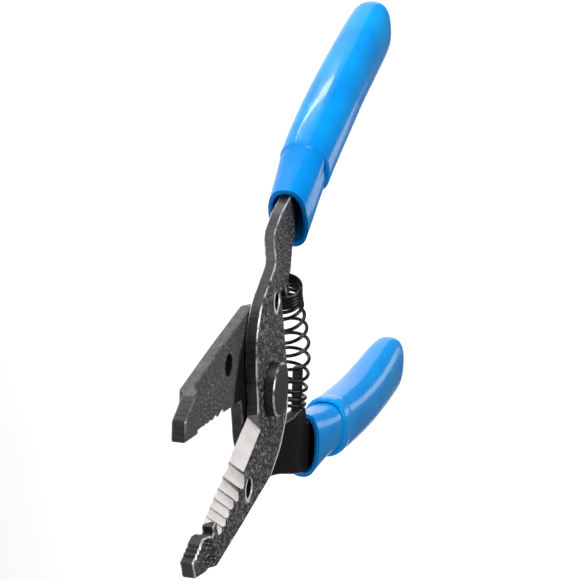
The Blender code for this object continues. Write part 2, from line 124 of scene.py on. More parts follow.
# centre line of the bowed spring between its two ends: x, y, z with the tool resting open
SPRING_BOW = ((24.9, 9.3, -1.15), (25.9, 4.0, -0.8), (26.1, -0.5, -0.25), (25.7, -5.5, -0.1),
              (24.9, -10.2, -0.45))
COIL_LEAN_DEG = 9           # the middle coils lean over while the bow is loaded sideways
# advance of each turn measured on the side away from the pivot plane, front lever to rear
TURN_PITCH = (0.95, 0.95, 0.95, 1.05, 1.3, 3.0, 3.15, 3.2, 3.3, 3.2, 3.1, 2.0, 1.3)
FIRST_PART_TURN = (0.75, 0.85)     # turns and advance before the first of those
LAST_PART_TURN = (0.4, 0.5)        # and after the last one

STEP_X = 51.0               # the second dip starts here
GRIP_END_X = {"front": 128.7, "rear": 132.2}
OVAL_POWER = 2.5            # superellipse power of the grip section
LAYER_GAP = 0.15
# grip outer surface at stations along the handle:
# x, centre y, half width, half thickness, centre height above the tang's mid-plane
FIRST_DIP = {
    "front": ((34.2, 17.7, 7.0, 4.05, 0.15), (35.0, 17.75, 7.2, 4.3, 0.15),
              (38.6, 18.2, 6.85, 4.5, 0.1), (44.3, 18.95, 6.3, 4.7, 0.0),
              (50.7, 19.8, 6.1, 4.85, -0.15)),
    "rear": ((31.1, 19.4, 7.1, 3.55, 0.0), (31.9, 19.45, 7.25, 3.8, 0.0),
             (35.9, 19.4, 6.75, 4.05, 0.0), (43.0, 19.3, 5.95, 4.5, 0.0),
             (50.7, 19.6, 5.9, 4.8, 0.0)),
}
SECOND_DIP = {
    "front": ((51.0, 20.0, 6.45, 5.3, -0.15), (52.2, 20.1, 6.75, 5.65, -0.2),
              (60.0, 20.5, 6.7, 5.85, -0.25), (72.0, 20.7, 6.7, 6.0, -0.25),
              (86.0, 20.5, 6.9, 5.9, -0.25), (100.0, 19.7, 7.25, 5.75, -0.25),
              (112.0, 18.8, 7.7, 5.5, -0.25), (118.0, 18.35, 7.7, 5.3, -0.25)),
    "rear": ((51.0, 19.75, 6.6, 5.1, 0.0), (52.2, 19.8, 7.1, 5.35, 0.0),
             (60.0, 20.2, 7.05, 5.5, 0.0), (72.0, 20.4, 7.05, 5.6, 0.0),
             (86.0, 20.2, 7.25, 5.5, 0.0), (100.0, 19.3, 7.65, 5.3, 0.0),
             (112.0, 18.35, 8.15, 4.95, 0.0), (118.0, 17.9, 8.2, 4.7, 0.0)),
}
DIP_WALL = 0.85             # vinyl left outside the first dip or the tang cavity
LIP_R = 0.48                # the mouth of the first dip rolls round this radius
UNDER_WALL = 0.9            # wall of the first dip where the second one covers it
FIRST_END_GAP, SECOND_END_WALL = 2.2, 1.9      # left at the grip's end, beyond DIP_WALL
# the first dip of the front grip swells under the step: x, amount
FRONT_SWELL = ((34, 0.0), (50.7, 0.62), (51.2, 0.95), (54, 0.95), (56, 0))
# the second dip of the rear grip has a bead at its step: stations as above
REAR_BEAD = ((54.6, 19.95, 7.2, 5.54, 0.0), (57.4, 20.0, 6.95, 5.4, 0.0))
EDGE_RUN = 1.2              # the second dip's edge rounds over along this length
RING = 72                   # points round a grip section

# number, x and y of each gauge mark, on the rear lever's own drawing
MARK_SIZE, MARK_DEPTH, MARK_TURN_DEG = 1.7, 0.02, 13
GAUGE_MARKS = (("10", -24.3, -6.9), ("12", -27.4, -6.5), ("14", -30.3, -5.9), ("16", -33.0, -5.4),
               ("18", -35.6, -4.9))

BODY = {"front": "front_half", "rear": "rear_half"}


# ---- node material helpers -------------------------------------------------------------------
class Nodes:
    """Small helper to write a material's node tree line by line."""

    def __init__(self, name):
        self.mat = bpy.data.materials.new(name)
        self.mat.use_nodes = True
        self.tree = self.mat.node_tree
        self.bsdf = self.tree.nodes["Principled BSDF"]

    def add(self, kind, **props):
        node = self.tree.nodes.new(kind)
        for key, value in props.items():
            setattr(node, key, value)
        return node

    def link(self, a, b):
        self.tree.links.new(a, b)

    def feed(self, socket, value):
        if isinstance(value, bpy.types.NodeSocket):
            self.link(value, socket)
        else:
            socket.default_value = value

    def place(self, scale=(1, 1, 1), turn=(0, 0, 0)):
        """Object coordinates, stretched and turned."""
        if not hasattr(self, "coords"):
            self.coords = self.add("ShaderNodeTexCoord")
        m = self.add("ShaderNodeMapping")
        self.link(self.coords.outputs["Object"], m.inputs["Vector"])
        m.inputs["Scale"].default_value = scale
        m.inputs["Rotation"].default_value = [math.radians(a) for a in turn]
        return m.outputs["Vector"]

    def noise(self, where, scale, detail=4.0, rough=0.55, distortion=0.0):
        n = self.add("ShaderNodeTexNoise")
        self.feed(n.inputs["Vector"], where)
        for key, value in (("Scale", scale), ("Detail", detail), ("Roughness", rough),
                           ("Distortion", distortion)):
            n.inputs[key].default_value = value
        return n.outputs["Fac"]

    def ramp(self, fac, *stops):
        n = self.add("ShaderNodeValToRGB")
        self.feed(n.inputs["Fac"], fac)
        els = n.color_ramp.elements
        while len(els) < len(stops):
            els.new(0.5)
        for el, (pos, colour) in zip(els, stops):
            el.position = pos
            el.color = (colour,) * 3 + (1,) if isinstance(colour, (int, float)) else (*colour, 1)
        return n.outputs["Color"]

    def span(self, value, lo, hi, to_lo, to_hi):
        n = self.add("ShaderNodeMapRange")
        self.feed(n.inputs["Value"], value)
        for key, v in (("From Min", lo), ("From Max", hi), ("To Min", to_lo), ("To Max", to_hi)):
            n.inputs[key].default_value = v
        return n.outputs["Result"]

    def math(self, op, a, b=0.0):
        n = self.add("ShaderNodeMath", operation=op)
        self.feed(n.inputs[0], a)
        self.feed(n.inputs[1], b)
        return n.outputs[0]

    def mix(self, fac, a, b, blend="MIX"):
        n = self.add("ShaderNodeMix", data_type="RGBA", blend_type=blend)
        self.feed(n.inputs["Factor"], fac)
        for key, v in (("A", a), ("B", b)):
            socket = [s for s in n.inputs if s.name == key and s.type == "RGBA"][0]
            self.feed(socket, (*v, 1) if isinstance(v, tuple) and len(v) == 3 else v)
        return [s for s in n.outputs if s.type == "RGBA"][0]

    def bump(self, height, strength, distance, under=None):
        n = self.add("ShaderNodeBump")
        self.feed(n.inputs["Height"], height)
        n.inputs["Strength"].default_value = strength
        n.inputs["Distance"].default_value = distance
        if under is not None:
            self.link(under, n.inputs["Normal"])
        return n.outputs["Normal"]

    def shade(self, **sockets):
        for key, value in sockets.items():
            self.feed(self.bsdf.inputs[key.replace("_", " ")], value)
        return self.mat


def black_oxide(name, seed, paint_pivot_shade=False):
    """Blackened mild steel: fine pitted grain with pale flecks under a cloudy oil film.

    On the rear lever's inner face a disc round the pivot and the neck past it are painted near
    black as the front lever's shade, with less bump and shine there."""
    n = Nodes(name)
    where = n.place(turn=(0, 0, seed))
    grain = n.noise(where, 1250, 6.0, 0.68)
    fine = n.noise(where, 2000, 6.0, 0.66)
    cloud = n.noise(where, 160, 3.0, 0.5)
    base = n.ramp(cloud, (0.3, (0.010, 0.010, 0.011)), (0.7, (0.022, 0.021, 0.023)))
    base = n.mix(n.span(grain, 0.50, 0.58, 0.0, 0.85), base, (0.12, 0.118, 0.125))
    base = n.mix(n.span(fine, 0.545, 0.61, 0.0, 0.95), base, (0.55, 0.55, 0.56))
    bump, shine = 1.0, 0.14
    if paint_pivot_shade:
        split = n.add("ShaderNodeSeparateXYZ")
        n.link(n.place(), split.inputs[0])
        along, across = split.outputs[0], split.outputs[1]
        radius = n.math("SQRT", n.math("ADD", n.math("MULTIPLY", along, along),
                                       n.math("MULTIPLY", across, across)))
        # painted shade: the front lever's shadow, a near black disc round the pivot on the rear
        # lever's inner face that runs on along the neck
        pivot_shade = n.span(n.math("ADD", radius, n.math("MULTIPLY", cloud, 0.0012)),
                        0.0165, 0.0178, 1.0, 0.0)
        pivot_shade = n.math("MAXIMUM", pivot_shade, n.span(along, 0.0, 0.003, 0.0, 1.0))
        pivot_shade = n.math("MULTIPLY", pivot_shade, n.span(split.outputs[2], 0.0024, 0.0032, 0.0, 1.0))
        plain = n.span(cloud, 0.35, 0.6, 0.9, 0.45)
        base = n.mix(plain, base, (0.085, 0.085, 0.09))
        base = n.mix(n.math("MULTIPLY", pivot_shade, 0.93), base, (0.007, 0.0055, 0.005))
        bump, shine = 0.4, n.span(pivot_shade, 0.0, 1.0, 0.2, 0.04)
    height = n.math("ADD", n.math("MULTIPLY", grain, 0.8), n.math("MULTIPLY", fine, 0.5))
    normal = n.bump(height, bump, 0.00025)
    return n.shade(Base_Color=base, Metallic=0.0, Roughness=n.span(grain, 0.3, 0.7, 0.42, 0.6),
                   Specular_IOR_Level=shine, Normal=normal)


def sheared_side(name):
    """Stamped side wall: smooth dark land with long soft drag lines through the thickness."""
    n = Nodes(name)
    drag = n.noise(n.place(scale=(1, 1, 0.12)), 1500, 3.0, 0.55)
    cloud = n.noise(n.place(), 240, 2.0, 0.5)
    base = n.mix(n.span(drag, 0.35, 0.65, 0.0, 1.0), (0.016, 0.015, 0.016), (0.05, 0.048, 0.05))
    base = n.mix(n.span(cloud, 0.5, 0.7, 0.0, 0.5), base, (0.075, 0.073, 0.075))
    return n.shade(Base_Color=base, Metallic=0.3, Roughness=n.span(cloud, 0.3, 0.7, 0.34, 0.5),
                   Specular_IOR_Level=0.4, Normal=n.bump(drag, 0.3, 0.0001))


def edge_wear_and_highlight(name, highlight_and_wear):
    """Edge where the black finish has rubbed through to bright steel; the given tone also paints
    the light the edge catches, a painted highlight on the front lever and a dimmer, shaded copy on
    the rear.
    """
    n = Nodes(name)
    where = n.place()
    wear = n.noise(where, 420, 4.0, 0.6)
    colour = n.mix(n.span(wear, 0.36, 0.56, 0.0, 1.0), (0.05, 0.05, 0.05), highlight_and_wear)
    return n.shade(Base_Color=colour, Metallic=0.5,
                   Roughness=n.span(wear, 0.3, 0.7, 0.5, 0.35),
                   Normal=n.bump(n.noise(where, 3000, 3.0), 0.2, 0.00005))


def ground_steel(name):
    """Freshly ground bevel and notches with fine wheel lines across the edge."""
    n = Nodes(name)
    lines = n.noise(n.place(scale=(1, 0.05, 0.05)), 5200, 4.0, 0.65)
    smudge = n.noise(n.place(), 350, 3.0, 0.5)
    colour = n.mix(n.span(lines, 0.3, 0.7, 0.0, 1.0), (0.80, 0.76, 0.75), (0.97, 0.93, 0.92))
    colour = n.mix(n.span(smudge, 0.45, 0.75, 0.0, 0.35), colour, (0.50, 0.47, 0.45))
    return n.shade(Base_Color=colour, Metallic=0.1,
                   Roughness=n.span(lines, 0.3, 0.7, 0.34, 0.5),
                   Normal=n.bump(lines, 0.3, 0.00006))


def shaded_notch_wall(name):
    """Steep side of a ground notch, painted darker as its shade, and rougher from the wheel's rim.
    """
    n = Nodes(name)
    lines = n.noise(n.place(scale=(0.1, 1, 1)), 3600, 3.0, 0.6)
    colour = n.mix(n.span(lines, 0.3, 0.7, 0.0, 1.0), (0.12, 0.105, 0.10), (0.30, 0.27, 0.26))
    return n.shade(Base_Color=colour, Metallic=0.1, Roughness=n.span(lines, 0.3, 0.7, 0.5, 0.65),
                   Specular_IOR_Level=0.2, Normal=n.bump(lines, 0.3, 0.00006))


def painted_shade_bore(name):
    """Bore of the punched holes, painted near black as shade, with an oily noise in its tone and
    roughness.
    """
    n = Nodes(name)
    oil = n.noise(n.place(), 700, 3.0, 0.5)
    base = n.mix(n.span(oil, 0.35, 0.65, 0.0, 1.0), (0.003, 0.003, 0.003), (0.010, 0.009, 0.009))
    return n.shade(Base_Color=base, Roughness=n.span(oil, 0.3, 0.7, 0.5, 0.7),
                   Specular_IOR_Level=0.08)


def rivet_finish(name):
    n = Nodes(name)
    where = n.place()
    grain = n.noise(where, 1500, 5.0, 0.6)
    cloud = n.noise(where, 300, 2.0, 0.5)
    base = n.mix(n.span(grain, 0.4, 0.75, 0.0, 0.7), (0.018, 0.018, 0.019), (0.06, 0.058, 0.06))
    return n.shade(Base_Color=base, Metallic=0.3, Roughness=n.span(cloud, 0.3, 0.7, 0.34, 0.5),
                   Normal=n.bump(grain, 0.25, 0.0001))


def oiled_wire(name):
    n = Nodes(name)
    where = n.place()
    draw = n.noise(where, 900, 3.0, 0.6)
    base = n.mix(n.span(draw, 0.35, 0.7, 0.0, 1.0), (0.016, 0.015, 0.015), (0.05, 0.048, 0.046))
    return n.shade(Base_Color=base, Metallic=0.7, Roughness=n.span(draw, 0.3, 0.7, 0.22, 0.36),
                   Normal=n.bump(draw, 0.1, 0.00005))


def vinyl(name, deep, bright):
    """Glossy dipped vinyl: slow thickness changes tint it, and the skin has soft ripples."""
    n = Nodes(name)
    where = n.place()
    depth = n.noise(where, 60, 3.0, 0.5)
    ripple = n.noise(where, 130, 2.0, 0.45)
    skin = n.noise(where, 2400, 2.0, 0.5)
    base = n.mix(n.span(depth, 0.3, 0.7, 0.0, 1.0), deep, bright)
    normal = n.bump(ripple, 0.18, 0.0006)
    normal = n.bump(skin, 0.03, 0.00005, normal)
    return n.shade(Base_Color=base, Roughness=n.span(skin, 0.3, 0.7, 0.17, 0.25), Normal=normal,
                   Specular_IOR_Level=0.06, Coat_Weight=0.13, Coat_Roughness=0.05)


def plain_pale(name):
    """Pale backdrop that glows more toward +X."""
    n = Nodes(name)
    shade = n.noise(n.place(), 6, 2.0)
    base = n.mix(n.span(shade, 0.3, 0.7, 0.0, 1.0), (0.55, 0.55, 0.55), (0.6, 0.6, 0.6))
    split = n.add("ShaderNodeSeparateXYZ")
    n.link(n.place(), split.inputs[0])
    return n.shade(Base_Color=base, Roughness=0.9, Emission_Color=(1, 1, 1, 1),
                   Emission_Strength=n.span(split.outputs[0], 0.0, 0.5, 0.45, 1.0))


# ---- flat outlines ---------------------------------------------------------------------------
def rounded(corners, step_deg=5):
    """Closed outline from (x, y, radius) corners, each radius drawn as a fine arc."""
    out = []
    for i, (x, y, r) in enumerate(corners):
        here = Vector((x, y))
        back = Vector(corners[i - 1][:2]) - here
        ahead = Vector(corners[(i + 1) % len(corners)][:2]) - here
        turn = math.pi - back.angle(ahead)
        if r <= 0 or turn < 0.02:
            out.append(here)
            continue
        reach = min(r * math.tan(turn / 2), 0.48 * back.length, 0.48 * ahead.length)
        r = reach / math.tan(turn / 2)
        start, end = here + back.normalized() * reach, here + ahead.normalized() * reach
        centre = here + (back.normalized() + ahead.normalized()).normalized() * (
            r / math.cos(turn / 2))
        steps = max(2, round(turn / math.radians(step_deg)))
        a = start - centre
        swing = -a.angle_signed(end - centre)
        out += [centre + Matrix.Rotation(swing * k / steps, 2) @ a for k in range(steps + 1)]
    return out


def serrated_grip():
    """Gripping face from the nose root to the tip: a plain land, then V grooves."""
    pts = [(GRIP_START_X, GRIP_Y, 0.2)]
    for x in GROOVES:
        pts += [(x + GROOVE_HALF_W, GRIP_Y, 0), (x, GRIP_Y - SERRATION_DEPTH, 0),
                (x - GROOVE_HALF_W, GRIP_Y, 0)]
    return pts


def jaw_back():
    """Outer edge of the jaw from the nose root round the pivot boss."""
    return [(-41.9, -8.1, 2.0), (-26.0, -12.6, 20), (-6.6, -17.7, 5), (1.2, -17.0, 9),
            (8.8, -13.2, 7), (11.8, -5.0, 8), (12.5, 1.0, 8)]


def throat(side):
    """Inner edge from the handle root down to the blade; the rear one is cut back less."""
    if side == "front":
        return [(-7.0, 9.0, 12), (-8.2, 3.5, 6), (-8.9, 1.7, 0.6), (-9.8, EDGE_Y, 0)]
    return [(-9.2, 9.0, 8), (-10.7, 3.5, 6), (-11.3, 1.7, 0.6), (-12.0, EDGE_Y, 0)]


def neck_back(side):
    """Outer edge of the tang where it leaves the grip mouth."""
    if side == "front":
        return [(37.0, 23.2, 12), (28.0, 23.8, 8)]
    return [(37.0, 23.5, 8), (30.3, 25.3, 3)]


def neck_front(side):
    """Inner edge of the tang from the spring seat up into the grip mouth."""
    if side == "front":
        return [(29.4, SEAT[side], 0.6), (33.0, 12.55, 1.5)]
    return [(28.7, SEAT[side], 0.4), (30.4, 13.7, 0.8)]


def lever_outline(side):
    """Lever blank in the closed position, handle toward +Y, listed round the outline."""
    seat, tip = SEAT[side], PEG_TIP_Y[side]
    return rounded(
        [(TIP_X, GRIP_Y, 0.3), (TIP_X, -3.9, 0.8), (-44.6, -7.2, 3)]
        + jaw_back()
        + [(14.0, 7.0, 6), (15.0, 11.4, 1.2), (20.5, 10.4, 2), (22.6, seat, 0.6),
           (PEG_X - PEG_HALF_W, seat, 0.2), (PEG_X - PEG_HALF_W, tip, 0.9),
           (PEG_X + PEG_HALF_W, tip, 0.9), (PEG_X + PEG_HALF_W, seat, 0.2),
           *neck_front(side), (38.0, 14.3, 5),
           (60.0, 16.7, 30), (TANG_END_X, 15.8, 3), (TANG_END_X, 22.6, 3), (60.0, 24.3, 30),
           *neck_back(side), (16.5, 22.2, 10), (9.0, 21.3, 10),
           (1.0, 20.3, 9), (-4.2, 16.0, 9), *throat(side),
           (-40.4, EDGE_Y, 0), (-40.6, POCKET_Y, 0.15), (-41.6, POCKET_Y, 0.15)]
        + serrated_grip())


def inset(outline, amount):
    """The outline moved inward, whichever way round it is listed."""
    n = len(outline)
    area = sum(outline[i].x * outline[(i + 1) % n].y - outline[(i + 1) % n].x * outline[i].y
               for i in range(n))
    side = 1 if area > 0 else -1
    out = []
    for i in range(n):
        a = (outline[i] - outline[i - 1]).normalized()
        b = (outline[(i + 1) % n] - outline[i]).normalized()
        na, nb = Vector((-a.y, a.x)) * side, Vector((-b.y, b.x)) * side
        mid = (na + nb).normalized()
        out.append(outline[i] + mid * amount / max(mid.dot(na), 0.5))
    return out


# ---- mesh helpers ----------------------------------------------------------------------------
def new_object(name, bm, materials):
    bmesh.ops.recalc_face_normals(bm, faces=bm.faces)
    mesh = bpy.data.meshes.new(name)
    bm.to_mesh(mesh)
    bm.free()
    for m in materials:
        mesh.materials.append(m)
    ob = bpy.data.objects.new(name, mesh)
    bpy.context.scene.collection.objects.link(ob)
    return ob


def smooth(mesh, sharp_deg):
    mesh.shade_smooth()
    mesh.set_sharp_from_angle(angle=math.radians(sharp_deg))


def lofted(rings):
    """Closed skin over matching rings of points."""
    bm = bmesh.new()
    verts = [[bm.verts.new(p) for p in ring] for ring in rings]
    n = len(verts[0])
    for a, b in zip(verts, verts[1:]):
        for k in range(n):
            j = (k + 1) % n
            bm.faces.new((a[k], a[j], b[j], b[k]))
    bm.faces.new(verts[0])
    bm.faces.new(list(reversed(verts[-1])))
    return bm


def chamfered_plate(outline, c):
    """Stamping with a narrow broken edge round both faces."""
    inner = inset(outline, c)
    rings = [[(p.x, p.y, z) for p in ring] for ring, z in
             ((inner, 0.0), (outline, c), (outline, PLATE_T - c), (inner, PLATE_T))]
    bm = lofted(rings)
    # the narrow chamfers take the bare edge material, painted as a highlight on the front lever
    for f in bm.faces:
        tall = max(v.co.z for v in f.verts) - min(v.co.z for v in f.verts)
        if len(f.verts) == 4:
            f.material_index = EDGE_SLOT if tall < 2 * c else WALL_SLOT
    return bm


def hexahedron(low, high):
    """Six-faced solid from two matching rings of four points."""
    return lofted([low, high])


def turned(profile, segments, centre=(0, 0)):
    """Solid of revolution about Z from (radius, z) points that start and end on the axis."""
    bm = bmesh.new()
    rings = []
    for r, z in profile:
        count = 1 if r == 0 else segments
        rings.append([bm.verts.new((centre[0] + r * math.cos(2 * math.pi * k / segments),
                                    centre[1] + r * math.sin(2 * math.pi * k / segments), z))
                      for k in range(count)])
    for lower, upper in zip(rings, rings[1:]):
        for k in range(segments):
            j = (k + 1) % segments
            quad = [lower[k % len(lower)], lower[j % len(lower)],
                    upper[j % len(upper)], upper[k % len(upper)]]
            bm.faces.new(list(dict.fromkeys(quad)))
    return bm


def swing(side):
    """Matrix from the closed drawing in millimetres to the open rest pose in metres."""
    turn = math.radians(HALF_OPEN_DEG if side == "front" else -HALF_OPEN_DEG)
    roll = Matrix.Rotation(math.pi, 4, "X") if side == "rear" else Matrix.Identity(4)
    return (Matrix.Translation((0, 0, MATING_Z * MM)) @ Matrix.Rotation(turn, 4, "Z")
            @ Matrix.Scale(MM, 4) @ roll)


def settle(ob, side=None):
    """Bake the piece into the row frame."""
    ob.data.transform(swing(side) if side else
                      Matrix.Translation((0, 0, MATING_Z * MM)) @ Matrix.Scale(MM, 4))
    return ob


# ---- levers ----------------------------------------------------------------------------------
def bevel_cutter(side):
    """Wedge that grinds the long bevel, tapering off at both ends."""
    run = (BEVEL_TOP_Y - EDGE_Y) / (PLATE_T - EDGE_LAND)
    z_low, z_high = EDGE_LAND - 0.5, PLATE_T + 0.6
    y_low = EDGE_Y + run * (z_low - EDGE_LAND)
    y_high = EDGE_Y + run * (z_high - EDGE_LAND)
    (tip_e, piv_e), (tip_t, piv_t) = BEVEL_ENDS[side]
    low = [(tip_e, y_low, z_low), (piv_e, y_low, z_low),
           (piv_e, y_low + 8, z_low), (tip_e, y_low + 8, z_low)]
    high = [(tip_t, y_high, z_high), (piv_t, y_high, z_high),
            (piv_t, y_high + 12, z_high), (tip_t, y_high + 12, z_high)]
    return hexahedron(low, high)


def notch_cutter(x, edge_depth, edge_w, top_depth, top_w, points=40):
    """Lopsided grinding track lying in the bevel, deeper and wider toward the outer face."""
    rings = []
    for z in (-0.5, PLATE_T + 0.6):
        f = z / PLATE_T
        xc, y0 = x + NOTCH_SKEW * (f - 0.5), EDGE_Y + (BEVEL_TOP_Y - EDGE_Y) * f
        depth, half = edge_depth + (top_depth - edge_depth) * f, edge_w + (top_w - edge_w) * f
        ring = [(xc + half - 2 * half * k / points,
                 y0 - depth * math.sin(math.pi * (k / points) ** NOTCH_LEAN), z)
                for k in range(points + 1)]
        rings.append(ring + [(xc - half, y0 + 6, z), (xc + half, y0 + 6, z)])
    bm = bmesh.new()
    low, high = ([bm.verts.new(p) for p in ring] for ring in rings)
    bm.faces.new(low)
    bm.faces.new(list(reversed(high)))
    for i in range(len(low)):
        j = (i + 1) % len(low)
        bm.faces.new((low[i], high[i], high[j], low[j]))
    bmesh.ops.triangulate(bm, faces=bm.faces[:])
    return bm


def hole_cutter(x, y, r, c=CHAMFER):
    """Drill with a countersink lip at each face."""
    bm = turned([(0, -1), (r + c + 1, -1), (r, c), (r, PLATE_T - c),
                 (r + c + 1, PLATE_T + 1), (0, PLATE_T + 1)], 72, (x, y))
    # the lip at the outer face takes the bare edge material, painted bright as a highlight on the
    # front lever
    for f in bm.faces:
        if f.calc_center_median().z > PLATE_T - c:
            f.material_index = EDGE_SLOT
    return bm


def share(value, start, end, rounding):
    """0 before the bend and 1 after it, with both corners rounded."""
    total = 0.0
    for k in range(-6, 7):
        at = value + rounding * k / 6
        total += min(1.0, max(0.0, (at - start) / (end - start)))
    return total / 13


def bend_at(depth, end):
    """Where one end of the nose bend lies at this depth in the plate."""
    inner, outer = NOSE_BEND[0][end], NOSE_BEND[1][end]
    return inner + (outer - inner) * depth / PLATE_T


def joggle(z, x):
    """Height of a plate point once the nose and the handle are bent."""
    boss = MATING_GAP + PLATE_T / 2
    body = share(x, bend_at(z, 0), bend_at(z, 1), NOSE_ROUND)
    swell = (z - PLATE_T / 2) * NOSE_SWELL * (1 - body)
    return (z + swell - PLATE_T / 2 + boss * body
            - (boss + HANDLE_CROSS) * share(x, *HANDLE_BEND, HANDLE_ROUND))


def build_lever(side, black, edge, ground, wall, steep_shade, bore):
    ob = new_object(side + "_lever_steel", chamfered_plate(lever_outline(side), CHAMFER),
                    [black, edge, ground, wall])
    tools = [new_object("cut", hole_cutter(0, 0, PIVOT_HOLE_R), [bore, edge])]
    for x, y, r in (LOOP_HOLE[side], NECK_HOLE):
        tools.append(new_object("cut", hole_cutter(x, y, r), [bore, edge]))
    tools.append(new_object("cut", bevel_cutter(side), [ground]))
    tools.append(new_object("cut", hexahedron(*[[(PEG_X - 2.5, -0.5, z), (PEG_X + 2.5, -0.5, z),
                                                 (PEG_X + 2.5, SEAT[side] - 0.2, z),
                                                 (PEG_X - 2.5, SEAT[side] - 0.2, z)]
                                                for z in (-1.0, PLATE_T - PEG_T)]), [black]))
    tools += [new_object("cut", notch_cutter(*notch), [ground]) for notch in NOTCHES]
    for tool in tools:
        mod = ob.modifiers.new("cut", "BOOLEAN")
        mod.operation, mod.solver, mod.object = "DIFFERENCE", "EXACT", tool
        mod.material_mode = "TRANSFER"
    graph = bpy.context.evaluated_depsgraph_get()
    cut = bpy.data.meshes.new_from_object(ob.evaluated_get(graph))
    ob.modifiers.clear()
    ob.data = cut
    for tool in tools:
        bpy.data.objects.remove(tool)
    cut.materials.append(steep_shade)
    ground_index = list(cut.materials).index(ground)
    # painted shade on the steepest notch walls, picked by which way they face
    for face in cut.polygons:
        if face.material_index == ground_index and face.normal.x < SHADED_WALL_NORMAL_X:
            face.material_index = len(cut.materials) - 1
    bm = bmesh.new()
    bm.from_mesh(cut)
    folds = [(NOSE_BEND[0][end] + NOSE_ROUND * k / 3, NOSE_BEND[1][end] + NOSE_ROUND * k / 3)
             for end in (0, 1) for k in range(-3, 4)]
    folds += [(x + HANDLE_ROUND * k / 6,) * 2 for x in HANDLE_BEND for k in range(-6, 7)]
    for inner, outer in folds:
        bmesh.ops.bisect_plane(bm, geom=bm.verts[:] + bm.edges[:] + bm.faces[:],
                               plane_co=(inner, 0, 0), plane_no=(PLATE_T, 0, inner - outer),
                               dist=1e-5)
    for v in bm.verts:
        v.co.z = joggle(v.co.z, v.co.x)
    bmesh.ops.remove_doubles(bm, verts=bm.verts, dist=1e-4)
    bmesh.ops.triangulate(bm, faces=[f for f in bm.faces if len(f.verts) > 4])
    bm.to_mesh(cut)
    bm.free()
    smooth(cut, 28)
    settle(ob, side)
    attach(ob, BODY[side])
    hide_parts(side + "_lever")
    return ob


def build_painted_rim_highlight(material):
    """Painted highlight in bright steel on the front lever: a line along the jaw's back rim, an arc
    on one side of each hole.
    """
    outline = lever_outline("front")
    near, far = inset(outline, CHAMFER), inset(outline, CHAMFER + RIM_HIGHLIGHT_W)
    lines = [[(near[i], far[i]) for i, p in enumerate(outline) if p.x > RIM_HIGHLIGHT_TIP_X
              and p.y < RIM_HIGHLIGHT_TOP_Y]]
    for x, y, r in (LOOP_HOLE["front"], NECK_HOLE):
        hole = Vector((x, y))
        spokes = [Matrix.Rotation(math.radians(a), 2) @ Vector((1, 0)) for a in HOLE_HIGHLIGHT_DEG]
        lines.append([(hole + d * (r + CHAMFER), hole + d * (r + HOLE_HIGHLIGHT_R)) for d in spokes])
    bm = bmesh.new()
    for line in lines:
        rings = []
        for k, (a, b) in enumerate(line):
            b = a.lerp(b, min(1.0, (k + 0.4) / 6, (len(line) - k - 0.6) / 6))
            low, high = (joggle(z, a.x) for z in (PLATE_T - 0.05, PLATE_T + RIM_HIGHLIGHT_RISE))
            rings.append([(a.x, a.y, low), (a.x, a.y, high), (b.x, b.y, high), (b.x, b.y, low)])
        strip = lofted(rings)
        mesh = bpy.data.meshes.new("strip")
        strip.to_mesh(mesh)
        strip.free()
        bm.from_mesh(mesh)
        bpy.data.meshes.remove(mesh)
    ob = new_object("front_lever_painted_rim_highlight", bm, [material])
    settle(ob, "front")
    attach(ob, BODY["front"])
    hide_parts("front_lever")
    return ob


def build_gauge_marks(material):
    """Row of plain wire-gauge numbers stamped on the inner face of the rear jaw."""
    bm = bmesh.new()
    for text, x, y in GAUGE_MARKS:
        curve = bpy.data.curves.new("mark", "FONT")
        curve.body, curve.size, curve.extrude = text, MARK_SIZE, MARK_DEPTH
        curve.align_x, curve.align_y = "CENTER", "CENTER"
        curve.resolution_u = 3
        label = bpy.data.objects.new("mark", curve)
        mesh = bpy.data.meshes.new_from_object(label)
        mesh.transform(Matrix.Translation((x, y, MATING_GAP)) @ Matrix.Rotation(math.pi, 4, "X")
                       @ Matrix.Rotation(math.radians(MARK_TURN_DEG), 4, "Z"))
        bm.from_mesh(mesh)
        bpy.data.objects.remove(label)
    bmesh.ops.remove_doubles(bm, verts=bm.verts, dist=1e-4)
    ob = new_object("rear_jaw_gauge_marks", bm, [material])
    settle(ob, "rear")
    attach(ob, BODY["rear"])
    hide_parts("rear_lever")
    return ob


# ---- rivet and spring ------------------------------------------------------------------------
def build_rivet(material, highlight_and_wear):
    top = MATING_GAP + PLATE_T + HEAD_CLEAR
    head_z, tail_z = top + HEAD_H, -top - REAR_HEAD_H
    c = RIM_ROUND
    arc = [(math.sin(math.radians(a)), math.cos(math.radians(a))) for a in range(0, 91, 15)]
    profile = [(0, tail_z), (REAR_HEAD_R - c, tail_z)]
    profile += [(REAR_HEAD_R - c + c * s, tail_z + c - c * k) for s, k in arc[1:]]
    profile += [(REAR_HEAD_R, -top - 0.1), (REAR_HEAD_R - 0.1, -top), (SHANK_R, -top),
                (SHANK_R, top), (HEAD_R - 0.1, top), (HEAD_R, top + 0.1)]
    profile += [(HEAD_R - c + c * s, head_z - c + c * k) for s, k in reversed(arc[1:])]
    profile += [(HEAD_R - c, head_z), (RIVET_FLAT_R, head_z), (0, head_z)]
    ob = new_object("pivot_rivet_steel", turned(profile, 128), [material, highlight_and_wear])
    # painted highlight: the head's rounded rim gets the front lever's bright edge material
    for face in ob.data.polygons:
        if 0.3 < face.normal.z < 0.98:
            face.material_index = EDGE_SLOT
    smooth(ob.data, 30)
    settle(ob)
    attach(ob, BODY["rear"])
    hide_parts("pivot_rivet")
    return ob


